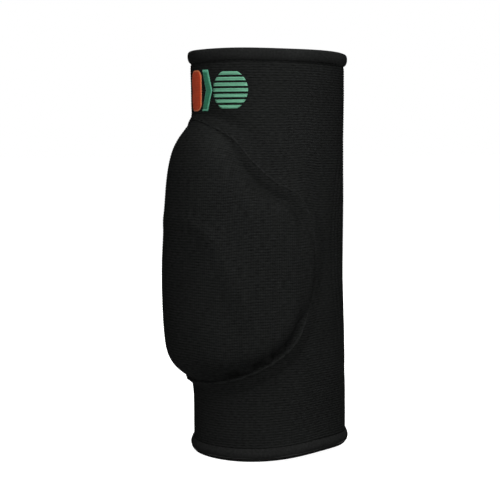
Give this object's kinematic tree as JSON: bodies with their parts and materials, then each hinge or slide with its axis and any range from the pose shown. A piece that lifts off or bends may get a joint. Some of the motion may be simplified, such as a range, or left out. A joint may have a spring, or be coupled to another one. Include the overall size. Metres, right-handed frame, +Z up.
{
  "type": "elbow pad",
  "caption": "Pull-on elbow pad: an elastic ribbed knit sleeve with folded hems and a moulded foam dome under the knit on one side.",
  "frame": {"origin": "centre of the lower cuff's opening, on the sleeve's axis, level with the cuff's edge", "axes": "+Z up the sleeve's axis to the upper cuff, -Y towards the crown of the pad, X across the pad"},
  "size_m": [0.1124, 0.1109, 0.233],
  "materials": {
    "knit": "matt black ribbed elastic knit",
    "foam": "moulded closed-cell foam",
    "lining": "smooth black lining cloth",
    "binding": "smooth black elastic binding",
    "elastic": "woven rubber elastic band",
    "thread": "black polyester sewing thread",
    "orange_print": "matt transfer print, orange",
    "green_print": "matt transfer print, green",
    "mint_print": "matt transfer print, mint"
  },
  "bodies": {
    "root": {"outer_sleeve": "knit", "foam_pad": "foam", "pad_lining": "lining", "pad_seam_thread": "thread", "bottom_hem_binding": "binding", "bottom_hem_elastic": "elastic", "bottom_hem_thread": "thread", "top_hem_binding": "binding", "top_hem_elastic": "elastic", "top_hem_thread": "thread", "motif_orange_block": "orange_print", "motif_green_chevron": "green_print", "motif_striped_roundel": "mint_print"}
  },
  "joints": []
}
